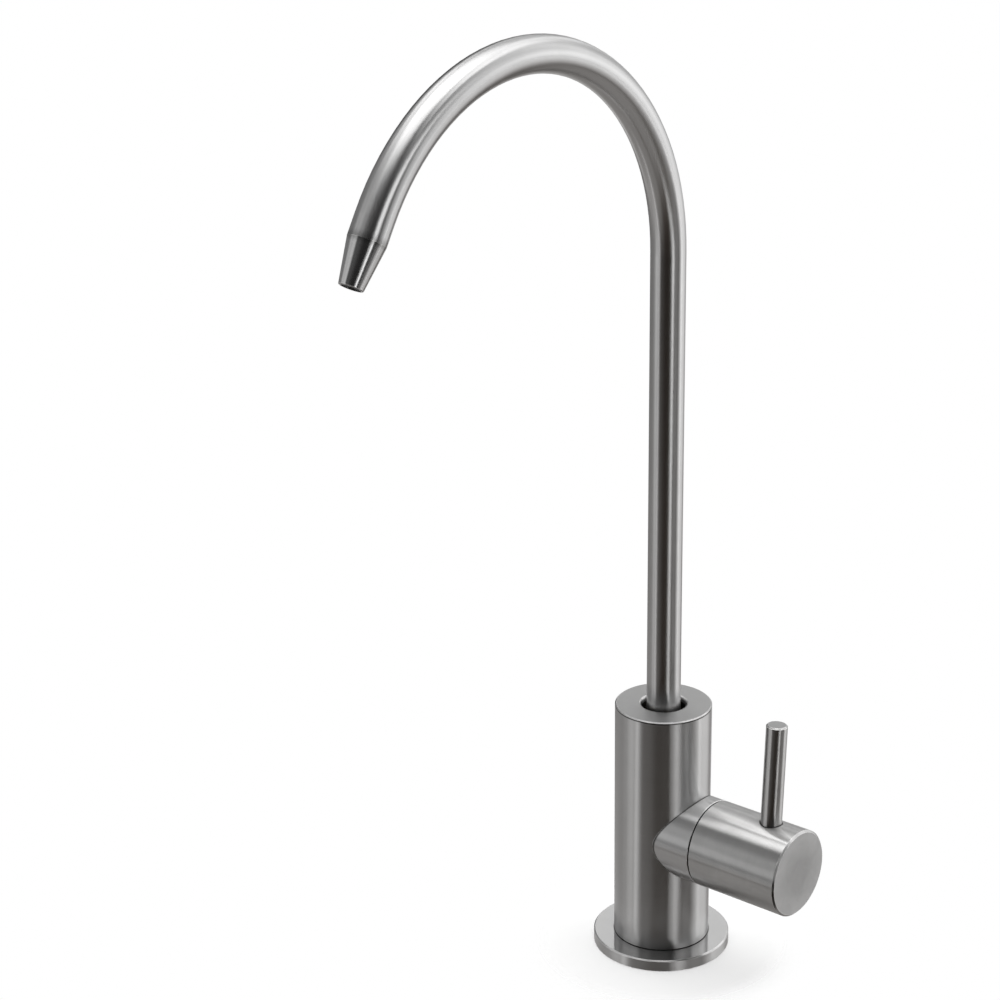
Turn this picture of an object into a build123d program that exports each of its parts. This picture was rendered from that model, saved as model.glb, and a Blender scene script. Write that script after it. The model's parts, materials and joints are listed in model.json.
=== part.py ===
from build123d import *
import math
import os

# A deck faucet for filtered drinking water, in millimetres.
# +Z is up and z = 0 is the underside of the flange, where it rests on the deck.
# The Z axis is the body's axis, the spout points along -Y and the handle along +X.

# Flange and its gasket
flange_radius = 20.0
flange_height = 3.4
flange_edge = 0.35
gasket_inner_radius = 12.5
gasket_width = 3.6
gasket_height = 1.2

# Body column and the side boss that the handle turns on
body_radius = 14.0
body_top = 76.85
body_edge = 0.3
body_foot_edge = 0.25
spigot_radius = 9.0
boss_reach = 4.18
boss_wall = 2.2
seam_edge = 0.15

# Water ways in the body
socket_radius = 5.5
socket_depth = 12.0
inlet_radius = 2.2
inlet_wall = 1.7
inlet_mouth_radius = 2.8
way_margin = 0.3
outlet_radius = 2.2
sump_radius = 4.2
sump_depth = 2.0
sump_floor_wall = 2.5

# Gooseneck
tube_radius = 4.9
tube_wall = 0.9
bend_start_height = 210.5
bend_radius = 62.15
bend_angle = 149.1
tube_end_length = 5.6
tip_length = 11.6
tip_end_radius = 3.17
tip_end_wall = 0.6
tip_edge = 0.2
tip_spigot_length = 6.0

# Swivel in the body's top
spout_bore_radius = 6.6
spout_bore_rim = 0.3
sleeve_recess = 5.9
sleeve_nose_length = 8.0
sleeve_edge = 0.3
sleeve_ring_section = 1.2
sleeve_ring_height = 2.0
sleeve_ring_pitch = 3.0
sleeve_ring_count = 2
spout_clip_thickness = 1.0
spout_clip_grip = 0.45
spout_clip_depth = 3.0
spout_clip_opening = 60.0
spout_washer_thickness = 1.0

# Handle barrel and lever
handle_axis_height = 37.5
barrel_radius = 12.7
barrel_length = 29.25
barrel_end_bevel = 0.55
barrel_wall = 2.1
barrel_end_wall = 4.6
hollow_room = 7.0
lever_radius = 3.05
lever_top = 42.6
lever_top_edge = 0.4
lever_from_end = 10.1
lever_lean = 3.1
lever_seat_depth = 1.2
lever_stud_radius = 2.4
lever_stud_length = 4.4
grub_screw_radius = 1.95
grub_screw_length = 6.0
grub_screw_key = 2.0
grub_screw_key_depth = 1.8

# Bush that guides the barrel and shows in the seam
bush_lip_thickness = 0.4
bush_lip_inset = 0.5
bush_wall = 0.6

# Ceramic cartridge, from the chamber's floor outwards
seat_seal_thickness = 2.2
seat_seal_width = 1.5
fixed_disc_thickness = 2.8
moving_disc_thickness = 2.4
port_inner_radius = 2.0
port_rim = 1.6
port_angle = 76.0
ear_width = 3.0
ear_reach = 0.9
drive_bar_thickness = 2.0
drive_bar_width = 4.6
tang_width = 2.4
tang_depth = 0.8
thrust_washer_thickness = 0.5
shell_wall = 1.85
shell_shoulder_length = 4.1
shell_collar_step = 1.5
shell_collar_thickness = 2.0
shell_neck_radius = 6.5
shell_neck_proud = 0.8
water_groove_depth = 0.75
window_angle = 50.0
window_count = 4
cartridge_ring_section = 1.2
nut_thread_length = 6.1
nut_flange_thickness = 2.0
nut_key_width = 16.0
nut_key_length = 2.4

# Stem, its rings, its stop and its clip
stem_radius = 4.0
stem_flat_height = 3.2
stem_ring_section = 1.0
stem_ring_inset = 3.6
stem_ring_pitch = 3.6
stem_ring_count = 2
quarter_turn = 90.0
stop_notch_depth = 2.0
stop_lug_length = 1.7
stop_lug_angle = 24.0
stop_washer_thickness = 0.95
stop_washer_rim = 0.3
stem_clip_thickness = 0.8
stem_clip_width = 1.8
stem_clip_bite = 0.7
stem_clip_opening = 70.0

# Clearances
fit_gap = 0.05
press_gap = 0.02
face_gap = 0.03
ring_gap = 0.03
groove_room = 0.2
stop_gap = 1.0
thread_gap = 0.05

# Places along the handle's axis, from the boss's end inwards
boss_end_x = body_radius + boss_reach
nut_start_x = boss_end_x - nut_thread_length
collar_x = nut_start_x - shell_collar_thickness
pocket_end_x = collar_x - shell_shoulder_length
drive_end_x = pocket_end_x - thrust_washer_thickness - face_gap
drive_start_x = drive_end_x - drive_bar_thickness
moving_disc_x = drive_start_x - moving_disc_thickness
fixed_disc_end_x = moving_disc_x - face_gap
fixed_disc_x = fixed_disc_end_x - fixed_disc_thickness
chamber_floor_x = fixed_disc_x - seat_seal_thickness
inlet_x = inlet_wall + inlet_radius - body_radius

# Places along the handle's axis, from the boss's end outwards
nut_flange_end_x = boss_end_x + nut_flange_thickness
nut_end_x = nut_flange_end_x + nut_key_length
neck_end_x = nut_flange_end_x + shell_neck_proud
stop_washer_x = neck_end_x + face_gap
stem_clip_x = stop_washer_x + stop_washer_thickness + face_gap
barrel_start_x = boss_end_x + bush_lip_thickness + face_gap
barrel_end_x = barrel_start_x + barrel_length
hub_x = nut_end_x + hollow_room
stem_end_x = barrel_end_x - barrel_end_wall
lever_x = barrel_end_x - lever_from_end

# Radii about the handle's axis
nut_bore_radius = barrel_radius - boss_wall
chamber_radius = nut_bore_radius - shell_collar_step
shell_radius = chamber_radius - fit_gap
pocket_radius = shell_radius - shell_wall
disc_radius = pocket_radius - fit_gap
drive_radius = disc_radius - groove_room
port_outer_radius = disc_radius - port_rim
stem_bore_radius = stem_radius + fit_gap
hollow_radius = barrel_radius - barrel_wall
bush_radius = hollow_radius - fit_gap
nut_flange_radius = bush_radius - bush_wall
stop_washer_radius = shell_neck_radius - stop_washer_rim
hub_bore_radius = stem_radius + fit_gap

# Heights on the body's axis
sump_floor_z = handle_axis_height + chamber_radius + sump_floor_wall
spout_seat_z = sump_floor_z + sump_depth
sleeve_bottom_z = spout_seat_z + spout_washer_thickness + face_gap
sleeve_top_z = body_top - sleeve_recess
tube_foot_z = sleeve_bottom_z + sleeve_nose_length
spout_clip_z = sleeve_top_z - spout_clip_depth
spout_groove_half = spout_clip_thickness / 2 + groove_room / 2

# Radii about the body's axis
tube_bore_radius = tube_radius - tube_wall
sleeve_radius = spout_bore_radius - fit_gap
spout_clip_inner = sleeve_radius - spout_clip_grip
spout_clip_outer = spout_bore_radius + spout_clip_grip
tip_bore_radius = tip_end_radius - tip_end_wall


# An outline of (radius, height) corners, turned about the vertical axis
def turned_upright(*outline):
    corners = [(radius, 0, height) for radius, height in outline]
    return revolve(make_face(Polyline(*corners, close=True)), Axis.Z)


# An outline of (x, radius) corners, turned about X from straight up towards the front
def turned_level(*outline, arc=360):
    corners = [(x, 0, radius) for x, radius in outline]
    return revolve(make_face(Polyline(*corners, close=True)), Axis.X, arc)


# A ring about X, whole or an arc of it, with the arc's middle turned to an angle from straight up
def level_ring(inner, outer, x_start, x_end, arc=360, middle=0):
    ring = turned_level((x_start, inner), (x_end, inner), (x_end, outer), (x_start, outer), arc=arc)
    return Rot(X=middle - arc / 2) * ring


# A round rod or hole along X
def level_rod(radius, x_start, x_end):
    return turned_level((x_start, 0), (x_end, 0), (x_end, radius), (x_start, radius))


# A round ring or sleeve about the vertical axis
def upright_ring(inner, outer, z_start, z_end):
    return turned_upright((inner, z_start), (outer, z_start), (outer, z_end), (inner, z_end))


# A round hole from one point to another
def drilled(start, end, radius):
    way = Vector(*end) - Vector(*start)
    return extrude(Plane(origin=start, z_dir=way) * Circle(radius), way.length)


# A rod along X with a flat above and a flat below
def flatted_rod(radius, flat_height, x_start, x_end):
    length = x_end - x_start
    slab = Pos((x_start + x_end) / 2, 0, 0) * Box(length, 2 * radius, 2 * flat_height)
    return level_rod(radius, x_start, x_end) & slab


# A six-sided prism along X, by the distance across its flats
def level_hexagon(across_flats, x_start, x_end):
    outline = RegularPolygon(across_flats / 2, 6, major_radius=False)
    return extrude(Plane.YZ.offset(x_start) * outline, x_end - x_start)


# Moves a piece that was made about X up to the handle's axis
def on_handle_axis(piece):
    return Pos(Z=handle_axis_height) * piece


# The same for what turns with the handle, which leans back by the lever's lean
def on_handle(piece):
    return Pos(Z=handle_axis_height) * Rot(X=-lever_lean) * piece


# A frame at the end of the gooseneck's bend, with +Z along the flow
def spout_end_frame():
    bend_centre = Pos(0, -bend_radius, bend_start_height)
    return bend_centre * Rot(X=bend_angle) * Pos(0, bend_radius, 0)


# Flange ring with a groove for the gasket in its underside
def base_flange():
    hole = spigot_radius + fit_gap
    groove_inner = gasket_inner_radius - fit_gap
    groove_outer = gasket_inner_radius + gasket_width + fit_gap
    return turned_upright(
        (hole, 0),
        (groove_inner, 0),
        (groove_inner, gasket_height),
        (groove_outer, gasket_height),
        (groove_outer, 0),
        (flange_radius, 0),
        (flange_radius, flange_height - flange_edge),
        (flange_radius - flange_edge, flange_height),
        (hole, flange_height),
    )


# Flat rubber ring between the flange and the deck
def deck_gasket():
    return upright_ring(gasket_inner_radius, gasket_inner_radius + gasket_width, 0, gasket_height)


# Column and side boss in one piece, with the spout's bore, the cartridge's chamber and the water ways
def valve_body():
    column = turned_upright(
        (0, 0),
        (spigot_radius, 0),
        (spigot_radius, flange_height),
        (body_radius - body_foot_edge, flange_height),
        (body_radius, flange_height + body_foot_edge),
        (body_radius, body_top - body_edge),
        (body_radius - body_edge, body_top),
        (0, body_top),
    )
    boss = turned_level(
        (0, 0),
        (0, barrel_radius),
        (boss_end_x - seam_edge, barrel_radius),
        (boss_end_x, barrel_radius - seam_edge),
        (boss_end_x, 0),
    )
    spout_bore = turned_upright(
        (0, sump_floor_z),
        (sump_radius, sump_floor_z),
        (sump_radius, spout_seat_z),
        (spout_bore_radius, spout_seat_z),
        (spout_bore_radius, spout_clip_z - spout_groove_half),
        (spout_clip_outer + groove_room, spout_clip_z - spout_groove_half),
        (spout_clip_outer + groove_room, spout_clip_z + spout_groove_half),
        (spout_bore_radius, spout_clip_z + spout_groove_half),
        (spout_bore_radius, body_top - spout_bore_rim),
        (spout_bore_radius + spout_bore_rim, body_top),
        (0, body_top),
    )
    chamber = turned_level(
        (chamber_floor_x, 0),
        (chamber_floor_x, chamber_radius),
        (collar_x, chamber_radius),
        (collar_x, nut_bore_radius),
        (boss_end_x, nut_bore_radius),
        (boss_end_x, 0),
    )
    socket = deck_socket()
    inlet_mouth = level_rod(inlet_mouth_radius, inlet_wall - body_radius, chamber_floor_x)
    inlet_foot = (inlet_radius + way_margin - socket_radius, 0, socket_depth - inlet_radius)
    inlet_rise = drilled(inlet_foot, (inlet_x, 0, handle_axis_height), inlet_radius)
    outlet_x = sump_radius - outlet_radius - way_margin
    outlet = drilled((outlet_x, 0, handle_axis_height), (outlet_x, 0, spout_seat_z), outlet_radius)
    solid = column + on_handle_axis(boss)
    solid -= on_handle_axis(chamber + inlet_mouth)
    return solid - spout_bore - socket - inlet_rise - outlet


# Threaded socket in the foot, at its thread's inner radius
def deck_socket():
    return turned_upright((0, 0), (socket_radius, 0), (socket_radius, socket_depth), (0, socket_depth))


# Rubber ring that presses the fixed disc outwards and seals round its ports
def seat_seal():
    ring = level_ring(disc_radius - seat_seal_width, disc_radius, chamber_floor_x, fixed_disc_x)
    return on_handle_axis(ring)


# Two opposite ports through a disc, about an angle from straight up
def disc_ports(x_start, x_end, middle):
    port = level_ring(port_inner_radius, port_outer_radius, x_start, x_end, port_angle, middle)
    return port + Rot(X=180) * port


# A bar across the cartridge's axis, that the fixed disc's ears and their slots come from
def ear_bar(reach, width, x_start, x_end):
    length = x_end - x_start
    bar = Pos((x_start + x_end) / 2, 0, 0) * Box(length, 2 * reach, width)
    return bar & level_rod(reach, x_start, x_end)


# Ceramic disc that stands still, with ears that keep it from turning
def fixed_disc():
    disc = level_rod(disc_radius, fixed_disc_x, fixed_disc_end_x)
    ears = ear_bar(pocket_radius + ear_reach, ear_width, fixed_disc_x, fixed_disc_end_x)
    return on_handle_axis(disc + ears - disc_ports(fixed_disc_x, fixed_disc_end_x, 0))


# Brass shell with the discs' pocket, windows, a ring groove, a collar and a neck with the stop notch
def cartridge_shell():
    shell_start_x = chamber_floor_x + groove_room
    ring_floor = chamber_radius - 2 * ring_gap - cartridge_ring_section
    ring_groove_half = cartridge_ring_section / 2 + groove_room / 2
    ring_x = cartridge_ring_x()
    body = turned_level(
        (shell_start_x, pocket_radius),
        (shell_start_x, shell_radius),
        (moving_disc_x, shell_radius),
        (moving_disc_x, shell_radius - water_groove_depth),
        (pocket_end_x, shell_radius - water_groove_depth),
        (pocket_end_x, shell_radius),
        (ring_x - ring_groove_half, shell_radius),
        (ring_x - ring_groove_half, ring_floor),
        (ring_x + ring_groove_half, ring_floor),
        (ring_x + ring_groove_half, shell_radius),
        (collar_x, shell_radius),
        (collar_x, nut_bore_radius - fit_gap),
        (nut_start_x, nut_bore_radius - fit_gap),
        (nut_start_x, shell_neck_radius),
        (neck_end_x, shell_neck_radius),
        (neck_end_x, stem_bore_radius),
        (pocket_end_x, stem_bore_radius),
        (pocket_end_x, pocket_radius),
    )
    ear_slots = ear_bar(
        pocket_radius + ear_reach + fit_gap,
        ear_width + 2 * fit_gap,
        shell_start_x,
        fixed_disc_end_x + fit_gap,
    )
    body -= ear_slots
    for turn in range(window_count):
        middle = turn * 360 / window_count
        body -= level_ring(disc_radius, shell_radius, drive_start_x, drive_end_x, window_angle, middle)
    notch_angle = quarter_turn + stop_lug_angle + 2 * stop_gap
    notch_start_x = neck_end_x - stop_notch_depth
    notch_middle = quarter_turn / 2 - lever_lean
    neck_outside = shell_neck_radius + stop_washer_rim
    body -= level_ring(stem_radius, neck_outside, notch_start_x, neck_end_x, notch_angle, notch_middle)
    return on_handle_axis(body)


# Middle of the shell's ring groove, halfway along the shoulder
def cartridge_ring_x():
    return (pocket_end_x + collar_x) / 2


# O-ring between the shell and the chamber's wall
def cartridge_o_ring():
    section_radius = cartridge_ring_section / 2
    ring = Torus(chamber_radius - ring_gap - section_radius, section_radius, rotation=(0, 90, 0))
    return on_handle_axis(Pos(X=cartridge_ring_x()) * ring)


# Low-friction washer that the stem's drive bar turns against
def thrust_washer():
    return on_handle_axis(
        level_ring(stem_bore_radius, disc_radius, pocket_end_x - thrust_washer_thickness, pocket_end_x)
    )


# Nut in the boss that holds the shell, with a flange for the bush and a key end
def bonnet_nut():
    bore = shell_neck_radius + fit_gap
    nut = turned_level(
        (nut_start_x, bore),
        (nut_start_x, nut_bore_radius - thread_gap),
        (boss_end_x, nut_bore_radius - thread_gap),
        (boss_end_x, nut_flange_radius),
        (nut_flange_end_x, nut_flange_radius),
        (nut_flange_end_x, bore),
    )
    key = level_hexagon(nut_key_width, nut_flange_end_x, nut_end_x)
    return on_handle_axis(nut + (key - level_rod(bore, nut_flange_end_x, nut_end_x)))


# Plastic bush on the nut's flange, with a lip in the seam
def handle_bush():
    bore = nut_flange_radius + fit_gap
    lip_radius = barrel_radius - bush_lip_inset
    lip_end_x = boss_end_x + bush_lip_thickness
    return on_handle_axis(
        turned_level(
            (boss_end_x, bore),
            (boss_end_x, lip_radius),
            (lip_end_x, lip_radius),
            (lip_end_x, bush_radius),
            (nut_flange_end_x, bush_radius),
            (nut_flange_end_x, bore),
        )
    )


# Ceramic disc that the stem turns, with a slot for the stem's tang
def moving_disc():
    disc = level_rod(disc_radius - fit_gap, moving_disc_x, drive_start_x)
    slot_depth = tang_depth + face_gap
    slot = Box(slot_depth, tang_width + 2 * fit_gap, 2 * disc_radius)
    slot = Pos(drive_start_x - slot_depth / 2, 0, 0) * slot
    return on_handle(disc - slot - disc_ports(moving_disc_x, drive_start_x, quarter_turn))


# Middles of the stem's ring grooves, counted from the shell's collar outwards
def stem_ring_places():
    return [collar_x + stem_ring_inset + turn * stem_ring_pitch for turn in range(stem_ring_count)]


# Stem with the drive bar and tang at its inner end, ring grooves, a clip groove and two flats
def valve_stem():
    rod = level_rod(stem_radius, drive_end_x, neck_end_x)
    rod += flatted_rod(stem_radius, stem_flat_height, neck_end_x, stem_end_x)
    bar_middle_x = (drive_start_x + drive_end_x) / 2
    bar = Pos(bar_middle_x, 0, 0) * Box(drive_bar_thickness, drive_bar_width, 2 * drive_radius)
    tang = Pos(drive_start_x - tang_depth / 2, 0, 0) * Box(tang_depth, tang_width, 2 * drive_radius)
    inner_end = level_rod(drive_radius, drive_start_x - tang_depth, drive_end_x)
    rod += (bar + tang) & inner_end
    groove_floor = stem_bore_radius - 2 * ring_gap - stem_ring_section
    groove_half = stem_ring_section / 2 + groove_room / 2
    for place in stem_ring_places():
        rod -= level_ring(groove_floor, stem_radius, place - groove_half, place + groove_half)
    clip_end_x = stem_clip_x + stem_clip_thickness + face_gap
    clip_floor = stem_flat_height - stem_clip_bite
    rod -= level_ring(clip_floor, stem_radius, stem_clip_x - face_gap, clip_end_x)
    return on_handle(rod)


# Two O-rings in the stem's grooves
def stem_o_rings():
    section_radius = stem_ring_section / 2
    ring = Torus(stem_bore_radius - ring_gap - section_radius, section_radius, rotation=(0, 90, 0))
    return on_handle(Compound([Pos(X=place) * ring for place in stem_ring_places()]))


# Washer on the stem's flats, whose lug runs in the shell's notch and stops the quarter turn
def stop_washer():
    washer_end_x = stop_washer_x + stop_washer_thickness
    disc = level_rod(stop_washer_radius, stop_washer_x, washer_end_x)
    disc -= flatted_rod(stem_radius + fit_gap, stem_flat_height + fit_gap, stop_washer_x, washer_end_x)
    lug_start_x = stop_washer_x - stop_lug_length
    lug_inner = stem_radius + stop_washer_rim
    disc += level_ring(lug_inner, stop_washer_radius, lug_start_x, washer_end_x, stop_lug_angle)
    return on_handle(disc)


# Spring clip in the stem's outer groove, open on one side
def stem_clip():
    clip_inner = stem_flat_height - stem_clip_bite + ring_gap
    clip_outer = clip_inner + stem_clip_width
    clip_end_x = stem_clip_x + stem_clip_thickness
    clip_arc = 360 - stem_clip_opening
    return on_handle(level_ring(clip_inner, clip_outer, stem_clip_x, clip_end_x, clip_arc, 180))


# Barrel of the handle, hollow over the nut, with a hub on the stem and holes for lever and grub screw
def handle_barrel():
    barrel = turned_level(
        (barrel_start_x, hollow_radius),
        (barrel_start_x, barrel_radius - seam_edge),
        (barrel_start_x + seam_edge, barrel_radius),
        (barrel_end_x - barrel_end_bevel, barrel_radius),
        (barrel_end_x, barrel_radius - barrel_end_bevel),
        (barrel_end_x, 0),
        (hub_x, 0),
        (hub_x, hollow_radius),
    )
    bore_end_x = stem_end_x + groove_room
    barrel -= flatted_rod(hub_bore_radius, stem_flat_height + fit_gap, hub_x, bore_end_x)
    seat_z = barrel_radius - lever_seat_depth
    stud_floor_z = seat_z - lever_stud_length - groove_room
    barrel -= drilled((lever_x, 0, seat_z), (lever_x, 0, barrel_radius), lever_radius + groove_room / 2)
    barrel -= drilled((lever_x, 0, stud_floor_z), (lever_x, 0, seat_z), lever_stud_radius + thread_gap)
    barrel -= drilled((lever_x, 0, -barrel_radius), (lever_x, 0, 0), grub_screw_radius + thread_gap)
    return on_handle(barrel)


# Lever rod with a threaded stud at its foot
def lever_rod():
    seat_z = barrel_radius - lever_seat_depth
    rod = turned_upright(
        (0, seat_z - lever_stud_length),
        (lever_stud_radius, seat_z - lever_stud_length),
        (lever_stud_radius, seat_z),
        (lever_radius, seat_z),
        (lever_radius, lever_top - lever_top_edge),
        (lever_radius - lever_top_edge, lever_top),
        (0, lever_top),
    )
    return on_handle(Pos(X=lever_x) * rod)


# Grub screw with a hexagon socket, under the barrel and against the stem's flat
def handle_set_screw():
    tip_z = -stem_flat_height - face_gap
    head_z = tip_z - grub_screw_length
    screw = drilled((lever_x, 0, head_z), (lever_x, 0, tip_z), grub_screw_radius)
    key = RegularPolygon(grub_screw_key / 2, 6, major_radius=False)
    screw -= extrude(Pos(lever_x, 0, head_z) * key, grub_screw_key_depth)
    return on_handle(screw)


# Bent tube from the sleeve over the bend to the nozzle
def spout_tube():
    section = Circle(tube_radius) - Circle(tube_bore_radius)
    upright = extrude(Pos(Z=tube_foot_z) * section, bend_start_height - tube_foot_z)
    bend_axis = Axis((0, -bend_radius, bend_start_height), (1, 0, 0))
    bend = revolve(Pos(Z=bend_start_height) * section, bend_axis, bend_angle)
    end = spout_end_frame() * extrude(section, tube_end_length)
    return upright + bend + end


# Tapered nozzle with a spigot in the tube
def spout_tip():
    tip_end_z = tube_end_length + tip_length
    spigot = tube_bore_radius - press_gap
    tip = turned_upright(
        (tip_bore_radius, tube_end_length - tip_spigot_length),
        (spigot, tube_end_length - tip_spigot_length),
        (spigot, tube_end_length),
        (tube_radius, tube_end_length),
        (tip_end_radius, tip_end_z - tip_edge),
        (tip_end_radius - tip_edge, tip_end_z),
        (tip_bore_radius, tip_end_z),
    )
    return spout_end_frame() * tip


# Middles of the sleeve's ring grooves, from the lowest up
def sleeve_ring_places():
    first = sleeve_bottom_z + sleeve_ring_height
    return [first + turn * sleeve_ring_pitch for turn in range(sleeve_ring_count)]


# Brass sleeve on the tube's foot that turns in the body's bore
def swivel_sleeve():
    tube_seat = tube_radius + press_gap
    sleeve = turned_upright(
        (tube_bore_radius, sleeve_bottom_z),
        (sleeve_radius - sleeve_edge, sleeve_bottom_z),
        (sleeve_radius, sleeve_bottom_z + sleeve_edge),
        (sleeve_radius, sleeve_top_z - sleeve_edge),
        (sleeve_radius - sleeve_edge, sleeve_top_z),
        (tube_seat, sleeve_top_z),
        (tube_seat, tube_foot_z),
        (tube_bore_radius, tube_foot_z),
    )
    ring_floor = spout_bore_radius - 2 * ring_gap - sleeve_ring_section
    ring_half = sleeve_ring_section / 2 + groove_room / 2
    for place in sleeve_ring_places():
        sleeve -= upright_ring(ring_floor, sleeve_radius, place - ring_half, place + ring_half)
    clip_floor = spout_clip_inner - groove_room / 2
    groove_low = spout_clip_z - spout_groove_half
    groove_high = spout_clip_z + spout_groove_half
    return sleeve - upright_ring(clip_floor, sleeve_radius, groove_low, groove_high)


# O-rings in the sleeve's grooves
def sleeve_o_rings():
    section_radius = sleeve_ring_section / 2
    ring = Torus(spout_bore_radius - ring_gap - section_radius, section_radius)
    return Compound([Pos(Z=place) * ring for place in sleeve_ring_places()])


# Split spring ring, half in the body's groove and half in the sleeve's
def spout_clip():
    low = spout_clip_z - spout_clip_thickness / 2
    section = Pos(Z=low) * (Circle(spout_clip_outer) - Circle(spout_clip_inner))
    ring = extrude(section, spout_clip_thickness)
    half_opening = math.radians(spout_clip_opening / 2)
    far = 2 * spout_clip_outer
    side = far * math.tan(half_opening)
    wedge = make_face(Polyline((0, 0), (side, far), (-side, far), close=True))
    return ring - extrude(Pos(Z=low) * wedge, spout_clip_thickness)


# Plastic washer that the sleeve stands and turns on
def spout_washer():
    return upright_ring(sump_radius, sleeve_radius, spout_seat_z, spout_seat_z + spout_washer_thickness)


pieces = (
    base_flange,
    deck_gasket,
    valve_body,
    cartridge_shell,
    cartridge_o_ring,
    seat_seal,
    fixed_disc,
    thrust_washer,
    bonnet_nut,
    handle_bush,
    spout_washer,
    spout_clip,
    spout_tube,
    spout_tip,
    swivel_sleeve,
    sleeve_o_rings,
    handle_barrel,
    lever_rod,
    handle_set_screw,
    valve_stem,
    stem_o_rings,
    moving_disc,
    stop_washer,
    stem_clip,
)

os.makedirs("parts", exist_ok=True)
for piece in pieces:
    export_step(piece(), f"parts/{piece.__name__}.step")
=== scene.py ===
import json
import math

import bmesh
import bpy
from mathutils import Matrix, Vector

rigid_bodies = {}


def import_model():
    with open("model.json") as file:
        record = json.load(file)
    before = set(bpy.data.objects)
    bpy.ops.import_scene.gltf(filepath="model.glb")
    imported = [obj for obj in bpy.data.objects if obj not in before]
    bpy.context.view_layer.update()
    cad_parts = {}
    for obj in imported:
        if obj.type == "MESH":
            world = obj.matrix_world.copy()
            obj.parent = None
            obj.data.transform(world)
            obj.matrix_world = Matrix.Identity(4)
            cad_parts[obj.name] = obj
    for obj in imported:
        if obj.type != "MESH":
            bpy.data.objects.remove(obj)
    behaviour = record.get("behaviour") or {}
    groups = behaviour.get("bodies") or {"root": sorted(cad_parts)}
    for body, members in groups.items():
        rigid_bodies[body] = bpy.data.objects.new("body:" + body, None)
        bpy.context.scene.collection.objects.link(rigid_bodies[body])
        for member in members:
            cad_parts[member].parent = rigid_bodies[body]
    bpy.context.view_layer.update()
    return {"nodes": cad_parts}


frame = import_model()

parts = frame["nodes"]
mm = 0.001  # the scene is in metres, sizes below are easier to read in millimetres
faceSkin = 0.02 * mm  # a point this close to a flat face counts as on it
print("frame:", len(parts), "parts")


# ---- helpers for node trees
def fill(tree, node, values):
    # a value is a number, a colour or another node's socket
    for key, value in values.items():
        socket = node.inputs[key]
        if isinstance(value, bpy.types.NodeSocket):
            tree.links.new(value, socket)
        else:
            socket.default_value = value[:3] if socket.type == "VECTOR" else value


def addNode(tree, kind, values=None, **settings):
    node = tree.nodes.new("ShaderNode" + kind)
    for name, setting in settings.items():
        setattr(node, name, setting)
    fill(tree, node, values or {})
    return node


def calc(tree, operation, *terms, clamp=False):
    return addNode(tree, "Math", dict(enumerate(terms)), operation=operation, use_clamp=clamp).outputs[0]


def vectorCalc(tree, operation, *terms):
    return addNode(tree, "VectorMath", dict(enumerate(terms)), operation=operation).outputs[0]


def dotOf(tree, a, b):
    return addNode(tree, "VectorMath", {0: a, 1: b}, operation="DOT_PRODUCT").outputs["Value"]


def splitVector(tree, vector):
    return addNode(tree, "SeparateXYZ", {0: vector}).outputs


def fromAxle(tree, x, y):
    # distance from an axle that runs along z
    return calc(tree, "SQRT", calc(tree, "ADD", calc(tree, "MULTIPLY", x, x), calc(tree, "MULTIPLY", y, y)))


def joinVector(tree, x, y, z):
    return addNode(tree, "CombineXYZ", {0: x, 1: y, 2: z}).outputs[0]


def fade(tree, value, low, high, atLow=0.0, atHigh=1.0):
    # smooth step from one value to another
    values = {"Value": value, "From Min": low, "From Max": high, "To Min": atLow, "To Max": atHigh}
    return addNode(tree, "MapRange", values, interpolation_type="SMOOTHSTEP").outputs["Result"]


def remap(tree, value, low, high, atLow=0.0, atHigh=1.0):
    values = {"Value": value, "From Min": low, "From Max": high, "To Min": atLow, "To Max": atHigh}
    return addNode(tree, "MapRange", values).outputs["Result"]


def mixValue(tree, factor, a, b):
    return addNode(tree, "Mix", {0: factor, 2: a, 3: b}, data_type="FLOAT").outputs[0]


def mixVector(tree, factor, a, b):
    return addNode(tree, "Mix", {0: factor, 4: a, 5: b}, data_type="VECTOR").outputs[1]


def mixColour(tree, factor, a, b):
    return addNode(tree, "Mix", {0: factor, 6: a, 7: b}, data_type="RGBA").outputs[2]


def noise(tree, vector, scale=1.0, detail=2.0, roughness=0.5, distortion=0.0):
    values = {"Vector": vector, "Scale": scale, "Detail": detail, "Roughness": roughness, "Distortion": distortion}
    return addNode(tree, "TexNoise", values).outputs["Fac"]


def newGroup(name, inputs, outputs):
    group = bpy.data.node_groups.new(name, "ShaderNodeTree")
    for label, kind, start in inputs:
        socket = group.interface.new_socket(label, in_out="INPUT", socket_type="NodeSocket" + kind)
        if start is not None:
            socket.default_value = start
    for label in outputs:
        group.interface.new_socket(label, in_out="OUTPUT", socket_type="NodeSocketFloat")
    return group, group.nodes.new("NodeGroupInput").outputs, group.nodes.new("NodeGroupOutput")


def placeGroup(tree, group, values):
    return addNode(tree, "Group", values, node_tree=group).outputs


def newMaterial(name):
    material = bpy.data.materials.new(name)
    material.use_nodes = True
    tree = material.node_tree
    return material, tree, tree.nodes["Principled BSDF"]


def dress(part, material):
    parts[part].data.materials.clear()
    parts[part].data.materials.append(material)


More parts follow.
